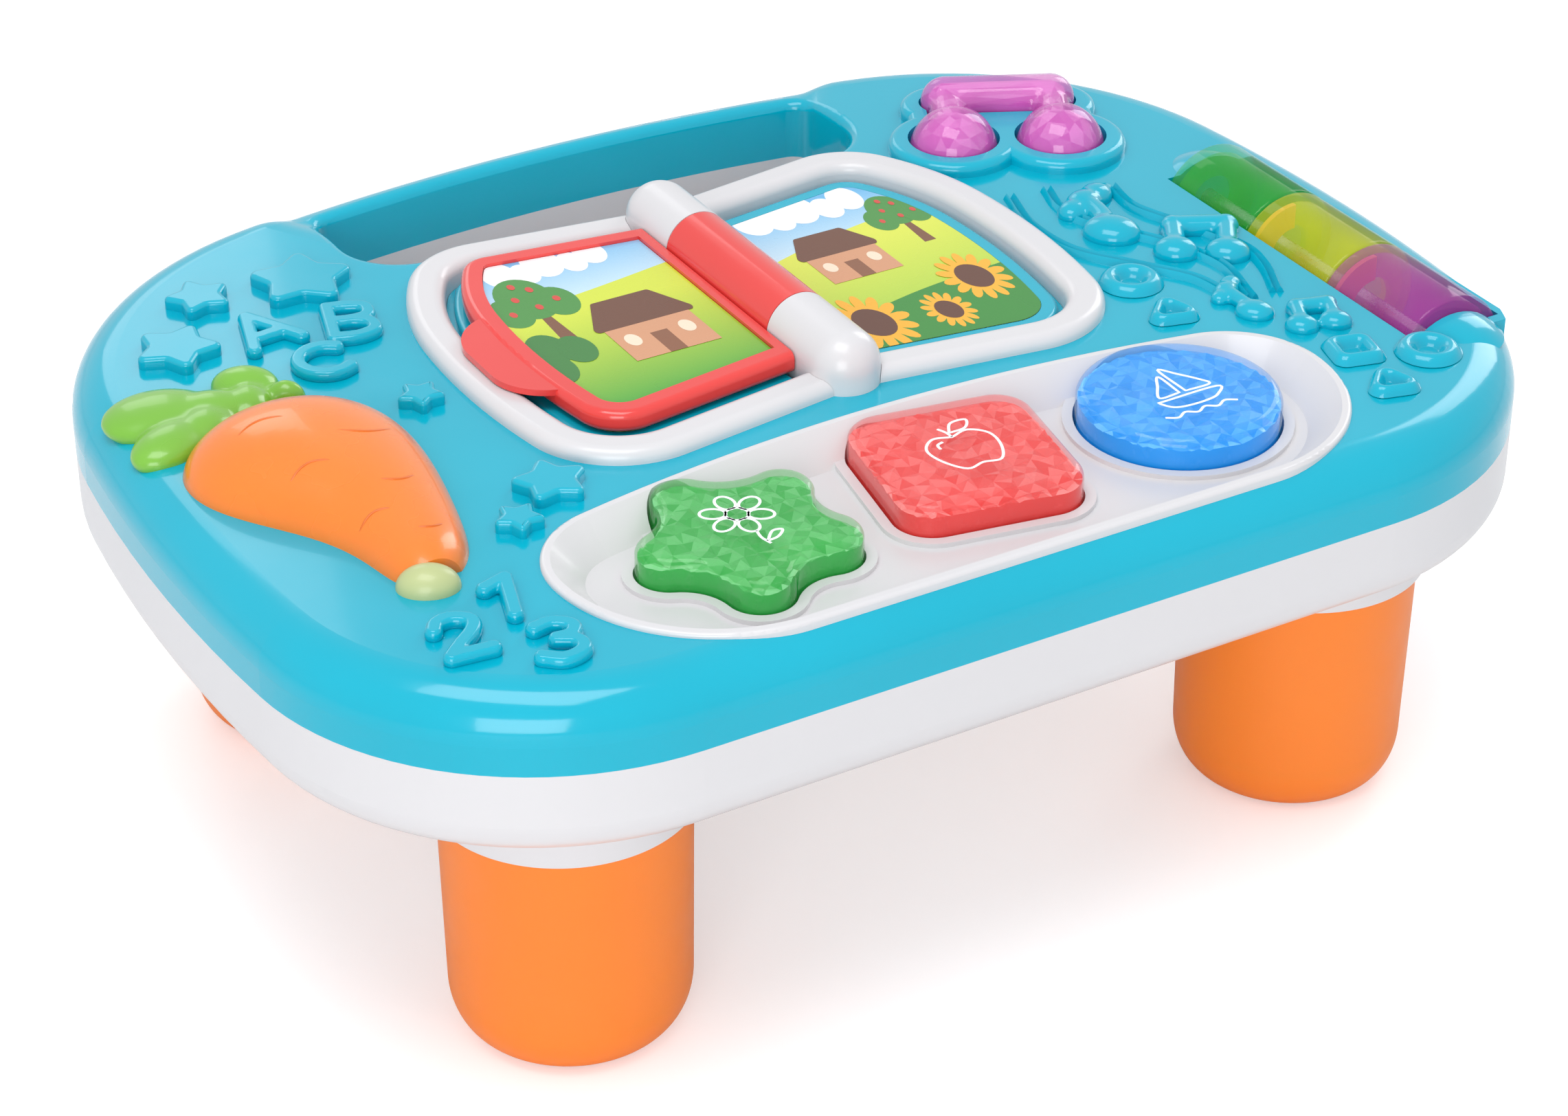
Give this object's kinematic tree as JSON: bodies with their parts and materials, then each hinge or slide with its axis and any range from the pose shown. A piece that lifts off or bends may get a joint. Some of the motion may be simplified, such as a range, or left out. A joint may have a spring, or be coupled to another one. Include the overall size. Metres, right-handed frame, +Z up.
{
  "type": "activity table",
  "caption": "Free-standing baby activity table with a carrying handle, turning picture page, push buttons, spinning roller, raised ornaments and tubular legs.",
  "frame": {"origin": "on the ground under the middle of the table top", "axes": "+X to the right seen from the front, +Y to the handle at the back, +Z up"},
  "size_m": [0.3798, 0.2926, 0.1449],
  "materials": {
    "teal_shell": "glossy moulded ABS, lightly mottled sheen",
    "white_shell": "satin-gloss off-white ABS",
    "orange_leg": "satin orange plastic",
    "red_page": "glossy coral-red plastic",
    "picture": null,
    "green_clear": "translucent green plastic, faceted inside",
    "red_clear": "translucent red plastic, faceted inside",
    "blue_clear": "translucent blue plastic, faceted inside",
    "pink_clear": "translucent pink plastic, faceted inside",
    "frosted_clear": "frosted clear plastic",
    "purple_clear": "translucent purple plastic",
    "yellow_clear": "translucent yellow plastic",
    "green_roller_clear": "translucent green plastic",
    "orange_disc": "orange plastic",
    "rubber_dome": "silicone rubber",
    "board": "printed circuit board laminate",
    "carrot_orange": "satin-gloss orange plastic",
    "leaf_green": "satin-gloss green plastic",
    "tip_green": "satin pale green plastic",
    "cell_sleeve": null,
    "speaker_black": "black plastic and paper cone",
    "switch_plastic": "dark plastic knob",
    "steel": "plated steel"
  },
  "bodies": {
    "table": {"upper_shell": "teal_shell", "lower_shell": "white_shell", "book_bezel": "white_shell", "picture_bed": "teal_shell", "left_picture": "picture", "right_picture": "picture", "spine_cap_front": "white_shell", "spine_cap_rear": "white_shell", "page_pin": "steel", "button_tray": "white_shell", "star_dome": "rubber_dome", "square_dome": "rubber_dome", "round_dome": "rubber_dome", "note_dome": "rubber_dome", "button_board": "board", "note_board": "board", "lights": "frosted_clear", "carrot_body": "carrot_orange", "carrot_leaves": "leaf_green", "carrot_tip": "tip_green", "batteries": "cell_sleeve", "battery_contacts": "steel", "battery_door": "white_shell", "door_screw": "steel", "speaker": "speaker_black", "shell_screws": "steel", "switch_body": "speaker_black", "leg_front_left": "orange_leg", "foot_front_left": "orange_leg", "collar_front_left": "white_shell", "leg_front_right": "orange_leg", "foot_front_right": "orange_leg", "collar_front_right": "white_shell", "leg_rear_left": "orange_leg", "foot_rear_left": "orange_leg", "collar_rear_left": "white_shell", "leg_rear_right": "orange_leg", "foot_rear_right": "orange_leg", "collar_rear_right": "white_shell"},
    "page": {"page_frame": "red_page", "page_cards": "picture"},
    "star": {"star_button": "green_clear", "star_light_guide": "frosted_clear"},
    "square": {"square_button": "red_clear", "square_light_guide": "frosted_clear"},
    "round": {"round_button": "blue_clear", "round_light_guide": "frosted_clear"},
    "note": {"note_button": "pink_clear", "note_light_guide": "frosted_clear"},
    "roller": {"roller_front": "purple_clear", "roller_middle": "yellow_clear", "roller_rear": "green_roller_clear", "roller_discs": "orange_disc", "roller_axle": "steel"},
    "switch": {"switch_knob": "switch_plastic"}
  },
  "joints": [
    {"name": "page_turn", "type": "hinge", "parent": "table", "child": "page", "pos_m": [0, 0.01505, 0.1348], "axis": [0, 1, 0], "range_deg": [0, 178]},
    {"name": "star_press", "type": "slide", "parent": "table", "child": "star", "axis": [0, 0, -1], "range_m": [0, 0.003], "stiffness_N_per_m": 300, "springref_m": -0.002, "deforming": ["star_dome"]},
    {"name": "square_press", "type": "slide", "parent": "table", "child": "square", "axis": [0, 0, -1], "range_m": [0, 0.003], "stiffness_N_per_m": 300, "springref_m": -0.002, "deforming": ["square_dome"]},
    {"name": "round_press", "type": "slide", "parent": "table", "child": "round", "axis": [0, 0, -1], "range_m": [0, 0.003], "stiffness_N_per_m": 300, "springref_m": -0.002, "deforming": ["round_dome"]},
    {"name": "note_press", "type": "slide", "parent": "table", "child": "note", "axis": [0, 0, -1], "range_m": [0, 0.0025], "stiffness_N_per_m": 300, "springref_m": -0.002, "deforming": ["note_dome"]},
    {"name": "roller_spin", "type": "hinge", "parent": "table", "child": "roller", "pos_m": [0.1619, -0.0385, 0.1201], "axis": [0, 1, 0], "continuous": true},
    {"name": "switch_slide", "type": "slide", "parent": "table", "child": "switch", "axis": [1, 0, 0], "range_m": [0, 0.008]}
  ]
}
